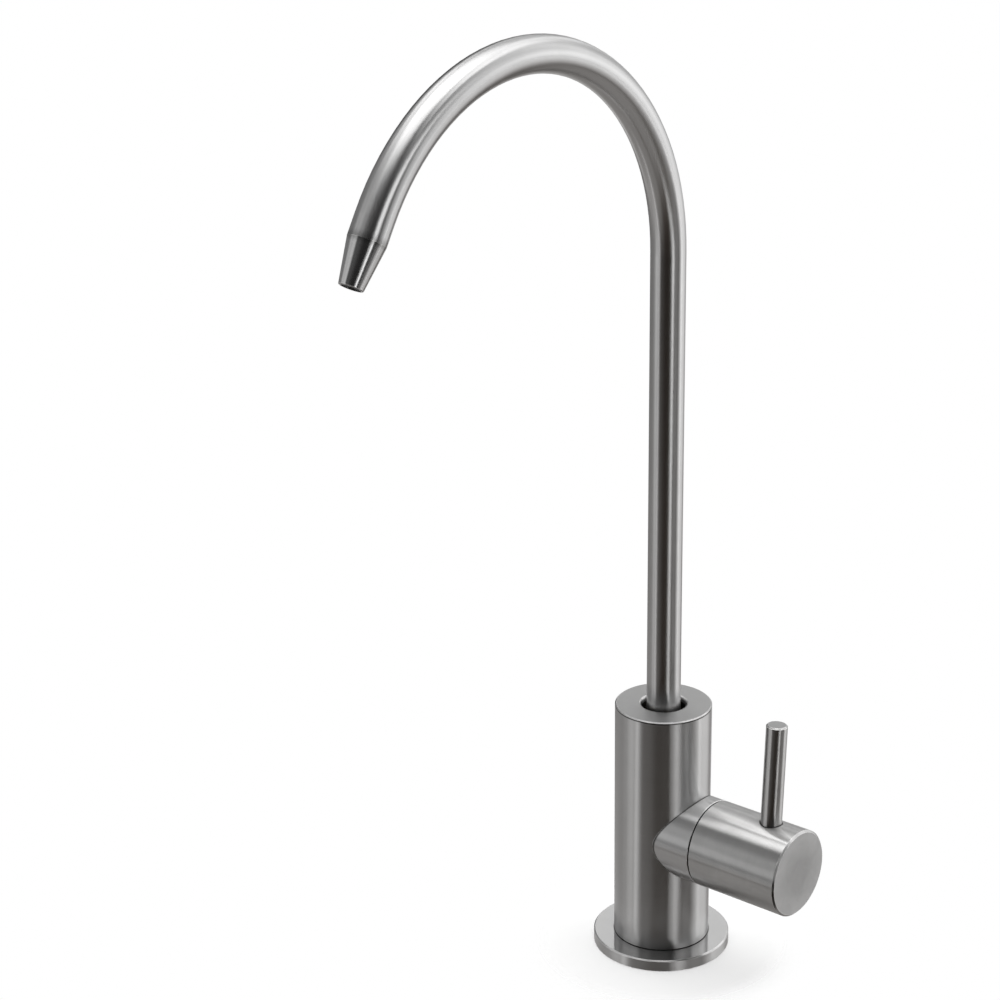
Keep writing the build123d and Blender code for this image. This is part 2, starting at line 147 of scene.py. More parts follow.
# ---- effects that several finishes share
def makeTurnedLines():
    # fine lines that a lathe or a brushing belt leaves round an axle; Position has its z along the axle, and
    # where End Face is 1 the lines are rings
    group, given, out = newGroup(
        "turnedLines",
        [
            ("Position", "Vector", None),
            ("Line Width", "Float", 0.0002),
            ("Line Length", "Float", 0.01),
            ("End Face", "Float", 0.0),
        ],
        ["Fine", "Broad"],
    )
    x, y, z = splitVector(group, given["Position"])
    across = mixValue(group, given["End Face"], z, fromAxle(group, x, y))
    for label, wider, longer, detail in (("Fine", 1.0, 1.0, 3.0), ("Broad", 7.0, 2.5, 2.0)):
        length = calc(group, "MULTIPLY", given["Line Length"], longer)
        width = calc(group, "MULTIPLY", given["Line Width"], wider)
        point = joinVector(
            group,
            calc(group, "DIVIDE", x, length),
            calc(group, "DIVIDE", y, length),
            calc(group, "DIVIDE", across, width),
        )
        group.links.new(noise(group, point, 1.0, detail, 0.6), out.inputs[label])
    return group


def makePolishStreaks():
    # the belt leaves the round form a hair uneven, in long streaks along the axle
    group, given, out = newGroup(
        "polishStreaks",
        [("Position", "Vector", None), ("Width", "Float", 0.001), ("Length", "Float", 0.06)],
        ["Height"],
    )
    x, y, z = splitVector(group, given["Position"])
    point = joinVector(
        group,
        calc(group, "DIVIDE", x, given["Width"]),
        calc(group, "DIVIDE", y, given["Width"]),
        calc(group, "DIVIDE", z, given["Length"]),
    )
    group.links.new(noise(group, point, 1.0, 2.0, 0.5), out.inputs["Height"])
    return group


def makeWipeMarks():
    # cloudy marks of wiping and handling
    group, given, out = newGroup(
        "wipeMarks", [("Position", "Vector", None), ("Size", "Float", 0.01), ("Contrast", "Float", 0.5)], ["Mask"]
    )
    scale = calc(group, "DIVIDE", 1.0, given["Size"])
    cloud = noise(group, given["Position"], scale, 3.0, 0.55, 0.6)
    half = calc(group, "MULTIPLY", calc(group, "SUBTRACT", 1.0, given["Contrast"]), 0.25)
    low = calc(group, "SUBTRACT", 0.45, half)
    high = calc(group, "ADD", 0.55, half)
    group.links.new(fade(group, cloud, low, high), out.inputs["Mask"])
    return group


def makeHairScratches():
    # a few thin scratches across the grain, from two stretched noises that are cut high
    group, given, out = newGroup(
        "hairScratches", [("Position", "Vector", None), ("Spacing", "Float", 0.004), ("Amount", "Float", 0.5)], ["Mask"]
    )
    thin = calc(group, "MULTIPLY", given["Spacing"], 0.05)
    total = None
    for turn in ((0.5, 0.3, 0.2), (-0.4, 1.1, 0.9)):
        values = {"Vector": given["Position"], "Rotation": turn}
        turned = addNode(group, "VectorRotate", values, rotation_type="EULER_XYZ").outputs[0]
        x, y, z = splitVector(group, turned)
        point = joinVector(
            group,
            calc(group, "DIVIDE", x, given["Spacing"]),
            calc(group, "DIVIDE", y, given["Spacing"]),
            calc(group, "DIVIDE", z, thin),
        )
        line = fade(group, noise(group, point, 1.0, 1.0, 0.4), 0.70, 0.78)
        total = line if total is None else calc(group, "MAXIMUM", total, line)
    group.links.new(calc(group, "MULTIPLY", total, given["Amount"]), out.inputs["Mask"])
    return group


def makeWornAndHighlightEdges():
    # where a rounded copy of the surface turns away from the real one, an edge has rubbed bright;
    # its lighter colour also paints the highlight along the edge
    group, given, out = newGroup(
        "wornAndHighlightEdges", [("Position", "Vector", None), ("Width", "Float", 0.0004), ("Amount", "Float", 1.0)], ["Mask"]
    )
    rounded = addNode(group, "Bevel", {"Radius": given["Width"]}, samples=4).outputs[0]
    facing = dotOf(group, rounded, addNode(group, "NewGeometry").outputs["Normal"])
    edge = fade(group, facing, 0.995, 0.93)
    patchy = remap(group, noise(group, given["Position"], 450.0, 3.0), 0.3, 0.7, 0.6, 1.0)
    worn = calc(group, "MULTIPLY", calc(group, "MULTIPLY", edge, patchy), given["Amount"], clamp=True)
    group.links.new(worn, out.inputs["Mask"])
    return group


def makeCreviceShadeAndFilm():
    # painted shade darkens close corners, where a deposit also makes the surface rougher
    group, given, out = newGroup("creviceShadeAndFilm", [("Reach", "Float", 0.002), ("Amount", "Float", 1.0)], ["Mask"])
    openness = addNode(group, "AmbientOcclusion", {"Distance": given["Reach"]}, samples=6).outputs["AO"]
    closed = fade(group, openness, 0.85, 0.4)
    group.links.new(calc(group, "MULTIPLY", closed, given["Amount"], clamp=True), out.inputs["Mask"])
    return group


def makeMouldedSkin():
    # fine pits and swirls of moulded rubber, plastic or ceramic
    group, given, out = newGroup(
        "mouldedSkin", [("Position", "Vector", None), ("Pit Size", "Float", 0.0003)], ["Height", "Cloud"]
    )
    scale = calc(group, "DIVIDE", 1.0, given["Pit Size"])
    pits = addNode(group, "TexVoronoi", {"Vector": given["Position"], "Scale": scale}, feature="SMOOTH_F1")
    grain = noise(group, given["Position"], calc(group, "MULTIPLY", scale, 0.6), 4.0, 0.6)
    group.links.new(calc(group, "ADD", pits.outputs["Distance"], grain), out.inputs["Height"])
    group.links.new(noise(group, given["Position"], calc(group, "MULTIPLY", scale, 0.03), 3.0), out.inputs["Cloud"])
    return group


turnedLines = makeTurnedLines()
polishStreaks = makePolishStreaks()
wipeMarks = makeWipeMarks()
hairScratches = makeHairScratches()
wornAndHighlightEdges = makeWornAndHighlightEdges()
creviceShadeAndFilm = makeCreviceShadeAndFilm()
mouldedSkin = makeMouldedSkin()
print("shared effects:", len(bpy.data.node_groups), "node groups")


# ---- steel
def along(tree, position, axle, centre):
    # turns a position so that z runs along the axle
    moved = vectorCalc(tree, "SUBTRACT", position, centre)
    x, y, z = splitVector(tree, moved)
    return joinVector(tree, y, z, x) if axle == "X" else moved


def blurDirection(tree, position, axle, centre):
    # direction round the axle; the fine lines run along it, so gloss is blurred across it
    moved = vectorCalc(tree, "SUBTRACT", position, centre)
    axis = (1, 0, 0) if axle == "X" else (0, 0, 1)
    return vectorCalc(tree, "CROSS_PRODUCT", axis, moved)


def toWorld(tree, vector):
    kind = {"vector_type": "VECTOR", "convert_from": "OBJECT", "convert_to": "WORLD"}
    return addNode(tree, "VectorTransform", {"Vector": vector}, **kind).outputs[0]


fineRange, broadRange = (0.25, 0.75), (0.3, 0.7)  # where the two line noises mostly lie


def finishSteel(tree, shader, look, position, grainPosition, tangent, face=None, shade=None, normal=None):
    # wires the shared effects into one steel finish; face is a mask of end faces with a finish of their
    # own, shade a mask of painted shade, which also carries a few darker patches of the finish
    lines = placeGroup(
        tree,
        turnedLines,
        {
            "Position": grainPosition,
            "Line Width": look["lineWidth"],
            "Line Length": look["lineLength"],
            "End Face": 0.0 if face is None else face,
        },
    )
    marks = placeGroup(
        tree, wipeMarks, {"Position": position, "Size": look["markSize"], "Contrast": look["markSharpness"]}
    )
    scratches = placeGroup(
        tree, hairScratches, {"Position": position, "Spacing": look["scratchSpacing"], "Amount": look["scratches"]}
    )
    edges = placeGroup(tree, wornAndHighlightEdges, {"Position": position, "Width": look["edgeWidth"], "Amount": look["edgeWear"]})
    grime = placeGroup(tree, creviceShadeAndFilm, {"Reach": look["grimeReach"], "Amount": look["grime"]})

    tone = remap(tree, lines["Fine"], *fineRange, 1 - look["lineContrast"], 1 + look["lineContrast"])
    broad = remap(tree, lines["Broad"], *broadRange, 1 - look["bandContrast"], 1 + look["bandContrast"])
    cloud = remap(tree, marks["Mask"], 0, 1, 1 - look["markContrast"], 1 + look["markContrast"])
    level = calc(tree, "MULTIPLY", calc(tree, "MULTIPLY", tone, broad), cloud)
    level = calc(tree, "ADD", level, calc(tree, "MULTIPLY", scratches["Mask"], look["scratchLight"]))
    base = look["colour"]
    if face is not None:
        base = mixColour(tree, face, look["colour"], look["faceColour"])
    steel = vectorCalc(tree, "MULTIPLY", base, joinVector(tree, level, level, level))
    # worn edges, whose lighter colour also paints their highlight
    steel = mixColour(tree, edges["Mask"], steel, look["edgeColour"])
    # painted shade in close corners
    steel = mixColour(tree, grime["Mask"], steel, look["grimeColour"])
    # painted shade wherever the shade mask lies
    if shade is not None:
        steel = mixColour(tree, shade, steel, look["grimeColour"])
    tree.links.new(steel, shader.inputs["Base Color"])

    spread = look["roughSpread"]
    rough = remap(tree, lines["Broad"], *broadRange, look["roughness"] - spread, look["roughness"] + spread)
    rough = calc(tree, "ADD", rough, calc(tree, "MULTIPLY", marks["Mask"], spread))
    if face is not None:
        faceRough = remap(tree, marks["Mask"], 0, 1, look["faceRoughness"] - spread, look["faceRoughness"] + spread)
        rough = mixValue(tree, face, rough, faceRough)
    rough = mixValue(tree, edges["Mask"], rough, look["edgeRoughness"])
    rough = mixValue(tree, grime["Mask"], rough, look["grimeRoughness"])
    tree.links.new(rough, shader.inputs["Roughness"])

    streaks = placeGroup(
        tree,
        polishStreaks,
        {"Position": grainPosition, "Width": look["streakWidth"], "Length": look["streakLength"]},
    )
    depth = look["streakDepth"] if face is None else remap(tree, face, 0, 1, look["streakDepth"], 0)
    height = calc(tree, "MULTIPLY", lines["Fine"], look["lineDepth"])
    height = calc(tree, "ADD", height, calc(tree, "MULTIPLY", streaks["Height"], depth))
    height = calc(tree, "SUBTRACT", height, calc(tree, "MULTIPLY", scratches["Mask"], look["scratchDepth"]))
    bump = addNode(tree, "Bump", {"Height": height, "Strength": 1.0, "Distance": 1.0})
    if normal is not None:
        tree.links.new(normal, bump.inputs["Normal"])
    tree.links.new(bump.outputs[0], shader.inputs["Normal"])

    tree.links.new(toWorld(tree, tangent), shader.inputs["Tangent"])
    shader.inputs["Metallic"].default_value = look["metallic"]
    shader.inputs["Anisotropic"].default_value = look["anisotropy"]
    shader.inputs["Anisotropic Rotation"].default_value = 0.25  # a quarter turn: the blur runs along the axle
    if face is not None:  # end faces have less grain than the sides
        grain = remap(tree, face, 0, 1, look["anisotropy"], look["faceAnisotropy"])
        tree.links.new(grain, shader.inputs["Anisotropic"])


def steelLook(**changes):
    look = {
        "colour": (0.471, 0.470, 0.469, 1),
        "faceColour": (0.40, 0.399, 0.398, 1),
        "edgeColour": (0.75, 0.745, 0.735, 1),
        "grimeColour": (0.03, 0.029, 0.027, 1),
        "roughness": 0.276,
        "roughSpread": 0.001,
        "faceRoughness": 0.5,
        "edgeRoughness": 0.28,
        "anisotropy": 1.0,
        "lineWidth": 0.09 * mm,
        "lineLength": 22 * mm,
        "lineDepth": 0.00005 * mm,
        "streakWidth": 0.9 * mm,
        "streakLength": 50 * mm,
        "streakDepth": 0.003 * mm,
        "lineContrast": 0.02,
        "bandContrast": 0.006,
        "markSize": 9 * mm,
        "markContrast": 0.02,
        "markSharpness": 0.4,
        "scratchSpacing": 5 * mm,
        "scratches": 0.3,
        "scratchLight": 0.12,
        "edgeWidth": 0.3 * mm,
        "edgeWear": 0.8,
        "grimeReach": 0.6 * mm,
        "grime": 1.0,
        "grimeRoughness": 0.6,
        "faceAnisotropy": 0.0,
        "metallic": 1.0,
    }
    look.update(changes)
    look["scratchDepth"] = look["lineDepth"] * 1.5
    return look


body = {
    "topHeight": 76.85 * mm,
    "boreRadius": 6.7 * mm,
    "boreFade": (1.2 * mm, 1.8 * mm),
    "rimFade": (0.6 * mm, 0.3 * mm),
    "rimDepth": 2 * mm,
    "rimBevel": 1.3 * mm,
    "lipDepth": 0.5 * mm,
    "lipFade": (0.3 * mm, 0.1 * mm),
    "lipShade": 0.9,
    "footHeight": 3.4 * mm,
    "footReach": 2.5 * mm,
    "footShade": 0.2,
    "columnRadius": 14.0 * mm,
    "handleHeight": 37.5 * mm,
    "seamFade": (0.45 * mm, 0.15 * mm),
    "seamShade": 0.9,
    "look": steelLook(faceRoughness=0.45, faceColour=(0.385, 0.384, 0.382, 1), edgeColour=(0.85, 0.845, 0.835, 1)),
}


def dressBody():
    # upright column and level boss are one casting: the grain turns round each one's own axis
    material, tree, shader = newMaterial("turnedSteelBody")
    position = addNode(tree, "TexCoord").outputs["Object"]
    x, y, z = splitVector(tree, position)
    reach = fromAxle(tree, x, y)
    onBoss = calc(tree, "GREATER_THAN", reach, body["columnRadius"] + faceSkin)
    columnCentre, handleCentre = (0, 0, 0), (0, 0, body["handleHeight"])
    grainPosition = mixVector(
        tree, onBoss, along(tree, position, "Z", columnCentre), along(tree, position, "X", handleCentre)
    )
    tangent = mixVector(
        tree, onBoss, blurDirection(tree, position, "Z", columnCentre), blurDirection(tree, position, "X", handleCentre)
    )
    onTop = calc(tree, "GREATER_THAN", z, body["topHeight"] - faceSkin)
    # painted shade: the bore round the tube is darkened, and so is a thin line where the top's rounded lip meets the
    # side
    inBore = calc(tree, "LESS_THAN", reach, body["boreRadius"])
    deep = fade(tree, z, *(body["topHeight"] - depth for depth in body["boreFade"]))
    underLip = calc(tree, "ABSOLUTE", calc(tree, "SUBTRACT", z, body["topHeight"] - body["lipDepth"]))
    lipLine = fade(tree, underLip, *body["lipFade"], 0, body["lipShade"])
    # painted shade darkens the column just above its foot
    foot = fade(tree, z, body["footHeight"] + body["footReach"], body["footHeight"], 0, body["footShade"])
    # painted shade darkens the boss's lower half
    rise = calc(tree, "SUBTRACT", z, body["handleHeight"])
    lowerShade = calc(tree, "MULTIPLY", onBoss, fade(tree, rise, *handle["lowerShadeFade"], 0, handle["lowerShade"]))
    # painted shade: a thin dark line in the crease where the boss meets the column
    offColumn = calc(tree, "SUBTRACT", reach, body["columnRadius"])
    seam = calc(tree, "MULTIPLY", onBoss, fade(tree, offColumn, *body["seamFade"], 0, body["seamShade"]))
    dark = calc(tree, "ADD", calc(tree, "ADD", lipLine, foot), calc(tree, "MAXIMUM", lowerShade, seam))
    shade = mixValue(tree, inBore, dark, deep)
    # the rim round the tube is rubbed rounder than its small bevel
    nearRim = fade(tree, reach, *(body["boreRadius"] + width for width in body["rimFade"]))
    nearRim = calc(tree, "MULTIPLY", nearRim, calc(tree, "GREATER_THAN", z, body["topHeight"] - body["rimDepth"]))
    soft = addNode(tree, "Bevel", {"Radius": body["rimBevel"]}, samples=8).outputs[0]
    normal = mixVector(tree, nearRim, addNode(tree, "NewGeometry").outputs["Normal"], soft)
    finishSteel(tree, shader, body["look"], position, grainPosition, tangent, onTop, shade, normal)
    dress("valve_body", material)
    print("body: turned steel")


flange = {
    "thickness": 3.4 * mm,
    "look": steelLook(
        faceRoughness=0.1,
        faceColour=(0.475, 0.474, 0.472, 1),
        edgeColour=(0.9, 0.895, 0.89, 1),
        metallic=0.95,
    ),
}


def dressFlange():
    material, tree, shader = newMaterial("turnedSteelFlange")
    position = addNode(tree, "TexCoord").outputs["Object"]
    height = splitVector(tree, position)["Z"]
    onTop = calc(tree, "GREATER_THAN", height, flange["thickness"] - faceSkin)
    grainPosition = along(tree, position, "Z", (0, 0, 0))
    tangent = blurDirection(tree, position, "Z", (0, 0, 0))
    finishSteel(tree, shader, flange["look"], position, grainPosition, tangent, onTop)
    dress("base_flange", material)
    print("flange: turned steel")


gooseneck = {
    "bendRadius": 62.15 * mm,
    "bendHeight": 210.5 * mm,
    "bendAngle": math.radians(149.1),
    "straightEnd": 17.2 * mm,
    "outletFade": (3.12 * mm, 3.02 * mm),
    "outletDepth": 0.15 * mm,
    "outletShade": 0.95,
    "tipLength": 11.6 * mm,
    "jointBefore": 2.2 * mm,
    "jointAfter": 1.5 * mm,
    "jointShade": 0.42,
    "look": steelLook(
        anisotropy=0.8,
        lineDepth=0.00003 * mm,
        streakWidth=0.5 * mm,
        streakLength=35 * mm,
        streakDepth=0.002 * mm,
        grime=0.2,
        edgeWear=0.3,
    ),
    "tipLook": steelLook(
        roughness=0.2,
        edgeColour=(0.95, 0.945, 0.935, 1),
        anisotropy=0.8,
        lineDepth=0.00003 * mm,
        streakWidth=0.5 * mm,
        streakDepth=0.001 * mm,
        edgeWear=1.0,
        grime=0.3,
        metallic=0.95,
    ),
}


def gooseneckPosition(tree, position):
    # position as (sideways, outwards, along the centre line), the direction of the centre line there, and the
    # way from it to the position
    centre = (0, -gooseneck["bendRadius"], gooseneck["bendHeight"])
    moved = vectorCalc(tree, "SUBTRACT", position, centre)
    x, y, z = splitVector(tree, moved)
    turn = addNode(tree, "Clamp", {0: calc(tree, "ARCTAN2", z, y), 1: 0.0, 2: gooseneck["bendAngle"]}).outputs[0]
    sine, cosine = calc(tree, "SINE", turn), calc(tree, "COSINE", turn)
    line = joinVector(tree, 0.0, calc(tree, "MULTIPLY", sine, -1.0), cosine)
    spoke = joinVector(tree, 0.0, cosine, sine)
    outwards = calc(tree, "SUBTRACT", dotOf(tree, moved, spoke), gooseneck["bendRadius"])
    reached = calc(tree, "ADD", dotOf(tree, moved, line), calc(tree, "MULTIPLY", turn, gooseneck["bendRadius"]))
    offLine = joinVector(tree, x, calc(tree, "MULTIPLY", outwards, cosine), calc(tree, "MULTIPLY", outwards, sine))
    return joinVector(tree, x, outwards, reached), line, offLine


def dressGooseneck():
    for part, name, look in (
        ("spout_tube", "brushedSteelTube", gooseneck["look"]),
        ("spout_tip", "polishedSteelTip", gooseneck["tipLook"]),
    ):
        material, tree, shader = newMaterial(name)
        position = addNode(tree, "TexCoord").outputs["Object"]
        grainPosition, line, offLine = gooseneckPosition(tree, position)
        tangent = vectorCalc(tree, "CROSS_PRODUCT", line, offLine)
        # painted shade darkens the outlet inside its rim
        sideways, outwards, reached = splitVector(tree, grainPosition)
        length = gooseneck["bendRadius"] * gooseneck["bendAngle"] + gooseneck["straightEnd"]
        atEnd = calc(tree, "GREATER_THAN", reached, length - gooseneck["outletDepth"])
        fromLine = fromAxle(tree, sideways, outwards)
        outlet = fade(tree, fromLine, *gooseneck["outletFade"], 0, gooseneck["outletShade"])
        outlet = calc(tree, "MULTIPLY", atEnd, outlet)
        # the joint of tube and tip is a little dull on both sides
        fromJoint = calc(tree, "SUBTRACT", reached, length - gooseneck["tipLength"])
        before = fade(tree, fromJoint, -gooseneck["jointBefore"], 0)
        after = fade(tree, fromJoint, gooseneck["jointAfter"], 0)
        dull = calc(tree, "MULTIPLY", calc(tree, "MINIMUM", before, after), gooseneck["jointShade"])
        shade = calc(tree, "MAXIMUM", outlet, dull)
        finishSteel(tree, shader, look, position, grainPosition, tangent, shade=shade)
        dress(part, material)
    print("gooseneck: brushed tube, polished tip")


handle = {
    "endX": 47.86 * mm,
    "bevel": 0.5 * mm,
    "bevelLow": (4 * mm, 1.5 * mm),
    "bevelFront": (-9.5 * mm, -11.5 * mm),
    "bevelShade": 0.9,
    "hubFade": (13 * mm, 2 * mm),
    "hubShade": 0.22,
    "lowerShade": 0.17,
    "lowerShadeFade": (3.5 * mm, -1 * mm),
    "leverLean": math.radians(3.1),
    "leverX": 37.76 * mm,
    "leverHole": (3.55 * mm, 3.25 * mm),
    "leverTop": 42.6 * mm,
    "look": steelLook(
        colour=(0.455, 0.453, 0.449, 1),
        faceRoughness=0.6,
        faceColour=(0.49, 0.489, 0.488, 1),
        edgeColour=(0.85, 0.845, 0.84, 1),
        markContrast=0.04,
        markSize=5 * mm,
    ),
    "leverLook": steelLook(
        colour=(0.44, 0.438, 0.434, 1),
        edgeColour=(0.95, 0.945, 0.935, 1),
        edgeWear=1.0,
        anisotropy=0.88,
        faceRoughness=0.4,
        lineDepth=0.00003 * mm,
        streakWidth=0.5 * mm,
        streakDepth=0.002 * mm,
    ),
}


def turnWithLever(tree, position):
    # the lever leans back, so a position is turned forward again about the handle's axis
    values = {
        "Vector": position,
        "Center": (0, 0, body["handleHeight"]),
        "Axis": (1, 0, 0),
        "Angle": handle["leverLean"],
    }
    return addNode(tree, "VectorRotate", values, rotation_type="AXIS_ANGLE").outputs[0]


def dressHandle():
    centre = (0, 0, body["handleHeight"])
    material, tree, shader = newMaterial("brushedSteelBarrel")
    position = addNode(tree, "TexCoord").outputs["Object"]
    x, y, z = splitVector(tree, position)
    onEnd = calc(tree, "GREATER_THAN", x, handle["endX"] - faceSkin)
    # painted shade on the end's bevel where it faces the user and the sink
    onBevel = calc(tree, "SUBTRACT", calc(tree, "GREATER_THAN", x, handle["endX"] - handle["bevel"]), onEnd)
    rise = calc(tree, "SUBTRACT", z, body["handleHeight"])
    low = fade(tree, rise, *handle["bevelLow"])
    front = fade(tree, y, *handle["bevelFront"])
    shade = calc(tree, "MULTIPLY", onBevel, calc(tree, "MULTIPLY", low, front))
    # painted shade: a dark line where the lever goes into its hole
    turned = along(tree, turnWithLever(tree, position), "Z", (handle["leverX"], 0, 0))
    leverX, leverY, leverZ = splitVector(tree, turned)
    ring = fade(tree, fromAxle(tree, leverX, leverY), *handle["leverHole"])
    ring = calc(tree, "MULTIPLY", ring, calc(tree, "GREATER_THAN", leverZ, body["handleHeight"]))
    shade = calc(tree, "MAXIMUM", shade, ring)
    # the end is a little duller towards its middle
    hub = fade(tree, fromAxle(tree, y, rise), *handle["hubFade"], 0, handle["hubShade"])
    hub = calc(tree, "MULTIPLY", onEnd, hub)
    # painted shade darkens the lower half
    lowerShade = fade(tree, rise, *handle["lowerShadeFade"], 0, handle["lowerShade"])
    lowerShade = calc(tree, "MULTIPLY", calc(tree, "SUBTRACT", 1.0, onEnd), lowerShade)
    finishSteel(
        tree,
        shader,
        handle["look"],
        position,
        along(tree, position, "X", centre),
        blurDirection(tree, position, "X", centre),
        onEnd,
        calc(tree, "MAXIMUM", calc(tree, "MULTIPLY", shade, handle["bevelShade"]), calc(tree, "MAXIMUM", lowerShade, hub)),
    )
    dress("handle_barrel", material)

    material, tree, shader = newMaterial("brushedSteelLever")
    position = addNode(tree, "TexCoord").outputs["Object"]
    turned = turnWithLever(tree, position)
    axisPoint = (handle["leverX"], 0, 0)
    tangent = vectorCalc(
        tree,
        "CROSS_PRODUCT",
        (0, math.sin(handle["leverLean"]), math.cos(handle["leverLean"])),
        vectorCalc(tree, "SUBTRACT", position, (handle["leverX"], 0, body["handleHeight"])),
    )
    height = splitVector(tree, turned)["Z"]
    onEnd = calc(tree, "GREATER_THAN", height, body["handleHeight"] + handle["leverTop"] - faceSkin)
    finishSteel(tree, shader, handle["leverLook"], position, along(tree, turned, "Z", axisPoint), tangent, onEnd)
    dress("lever_rod", material)
    print("handle: barrel and lever")


# ---- everything inside
inside = {
    "brass": {"colour": (0.60, 0.43, 0.20, 1), "roughness": 0.3, "lineWidth": 0.2 * mm},
    "spring": {"colour": (0.38, 0.38, 0.40, 1), "roughness": 0.28, "lineWidth": 0.1 * mm},
    "ceramic": {"colour": (0.86, 0.85, 0.81, 1), "roughness": 0.22, "pit": 0.08 * mm},
    "whiteAcetal": {"colour": (0.80, 0.79, 0.75, 1), "roughness": 0.42, "pit": 0.15 * mm},
    "darkAcetal": {"colour": (0.018, 0.018, 0.019, 1), "roughness": 0.45, "pit": 0.15 * mm},
    "rubber": {"colour": (0.022, 0.021, 0.020, 1), "roughness": 0.62, "pit": 0.12 * mm},
}
insideParts = {
    "cartridge_shell": ("brass", "X"),
    "bonnet_nut": ("brass", "X"),
    "valve_stem": ("brass", "X"),
    "swivel_sleeve": ("brass", "Z"),
    "stop_washer": ("brass", "X"),
    "stem_clip": ("spring", "X"),
    "spout_clip": ("spring", "Z"),
    "handle_set_screw": ("spring", "Z"),
    "fixed_disc": ("ceramic", None),
    "moving_disc": ("ceramic", None),
    "thrust_washer": ("whiteAcetal", None),
    "spout_washer": ("whiteAcetal", None),
    "handle_bush": ("darkAcetal", None),
    "deck_gasket": ("rubber", None),
    "seat_seal": ("rubber", None),
    "cartridge_o_ring": ("rubber", None),
    "stem_o_rings": ("rubber", None),
    "sleeve_o_rings": ("rubber", None),
}


innerMetals = {
    "lineLength": 6 * mm,
    "lineDepth": 0.003 * mm,
    "levels": (0.88, 1.08),
    "markSize": 4 * mm,
    "markSharpness": 0.5,
    "markShare": 0.4,
    "dull": 0.7,
    "bright": 1.25,
    "edgeWidth": 0.2 * mm,
    "edgeWear": 0.7,
    "smoother": 0.05,
    "rougher": 0.07,
}


def innerMetal(name, look, axle):
    material, tree, shader = newMaterial(name)
    position = addNode(tree, "TexCoord").outputs["Object"]
    centre = (0, 0, body["handleHeight"]) if axle == "X" else (0, 0, 0)
    lines = placeGroup(
        tree,
        turnedLines,
        {
            "Position": along(tree, position, axle, centre),
            "Line Width": look["lineWidth"],
            "Line Length": innerMetals["lineLength"],
        },
    )
    marks = placeGroup(
        tree,
        wipeMarks,
        {"Position": position, "Size": innerMetals["markSize"], "Contrast": innerMetals["markSharpness"]},
    )
    edges = placeGroup(
        tree, wornAndHighlightEdges, {"Position": position, "Width": innerMetals["edgeWidth"], "Amount": innerMetals["edgeWear"]}
    )
    level = remap(tree, lines["Broad"], *broadRange, *innerMetals["levels"])
    colour = vectorCalc(tree, "MULTIPLY", look["colour"], joinVector(tree, level, level, level))
    dull = [channel * innerMetals["dull"] for channel in look["colour"][:3]] + [1]
    colour = mixColour(tree, calc(tree, "MULTIPLY", marks["Mask"], innerMetals["markShare"]), colour, dull)
    bright = [min(1, channel * innerMetals["bright"]) for channel in look["colour"][:3]] + [1]
    tree.links.new(mixColour(tree, edges["Mask"], colour, bright), shader.inputs["Base Color"])
    smooth, coarse = look["roughness"] - innerMetals["smoother"], look["roughness"] + innerMetals["rougher"]
    rough = remap(tree, lines["Fine"], *broadRange, smooth, coarse)
    tree.links.new(rough, shader.inputs["Roughness"])
    height = calc(tree, "MULTIPLY", lines["Fine"], innerMetals["lineDepth"])
    tree.links.new(addNode(tree, "Bump", {"Height": height, "Distance": 1.0}).outputs[0], shader.inputs["Normal"])
    shader.inputs["Metallic"].default_value = 1.0
    return material


mouldings = {
    "pitDepth": 0.004 * mm,
    "levels": (0.92, 1.05),
    "markSize": 3 * mm,
    "markSharpness": 0.5,
    "markShare": 0.5,
    "dustDim": 0.85,
    "dustLift": 0.02,
    "smoother": 0.05,
    "rougher": 0.08,
}


def innerMoulding(name, look):
    material, tree, shader = newMaterial(name)
    position = addNode(tree, "TexCoord").outputs["Object"]
    skin = placeGroup(tree, mouldedSkin, {"Position": position, "Pit Size": look["pit"]})
    marks = placeGroup(
        tree,
        wipeMarks,
        {"Position": position, "Size": mouldings["markSize"], "Contrast": mouldings["markSharpness"]},
    )
    level = remap(tree, skin["Cloud"], *broadRange, *mouldings["levels"])
    colour = vectorCalc(tree, "MULTIPLY", look["colour"], joinVector(tree, level, level, level))
    dusty = [channel * mouldings["dustDim"] + mouldings["dustLift"] for channel in look["colour"][:3]] + [1]
    colour = mixColour(tree, calc(tree, "MULTIPLY", marks["Mask"], mouldings["markShare"]), colour, dusty)
    tree.links.new(colour, shader.inputs["Base Color"])
    smooth, coarse = look["roughness"] - mouldings["smoother"], look["roughness"] + mouldings["rougher"]
    rough = remap(tree, skin["Cloud"], *broadRange, smooth, coarse)
    tree.links.new(rough, shader.inputs["Roughness"])
    height = calc(tree, "MULTIPLY", skin["Height"], mouldings["pitDepth"])
    tree.links.new(addNode(tree, "Bump", {"Height": height, "Distance": 1.0}).outputs[0], shader.inputs["Normal"])
    return material


def dressInside():
    made = {}
    for part, (finish, axle) in insideParts.items():
        key = finish + (axle or "")
        if key not in made:
            look = inside[finish]
            made[key] = innerMoulding(key + "Skin", look) if axle is None else innerMetal(key + "Metal", look, axle)
        dress(part, made[key])
    print("inside:", len(insideParts), "parts in", len(made), "finishes")


# ---- studio
camera = {
    "azimuth": 40.37,
    "elevation": 20.21,
    "roll": -0.762,
    "distance": 0.7105,
    "lens": 91.38,
    "aimHeight": 0.140,
    "aimRight": -0.04639,
    "aimUp": -0.00086,
}


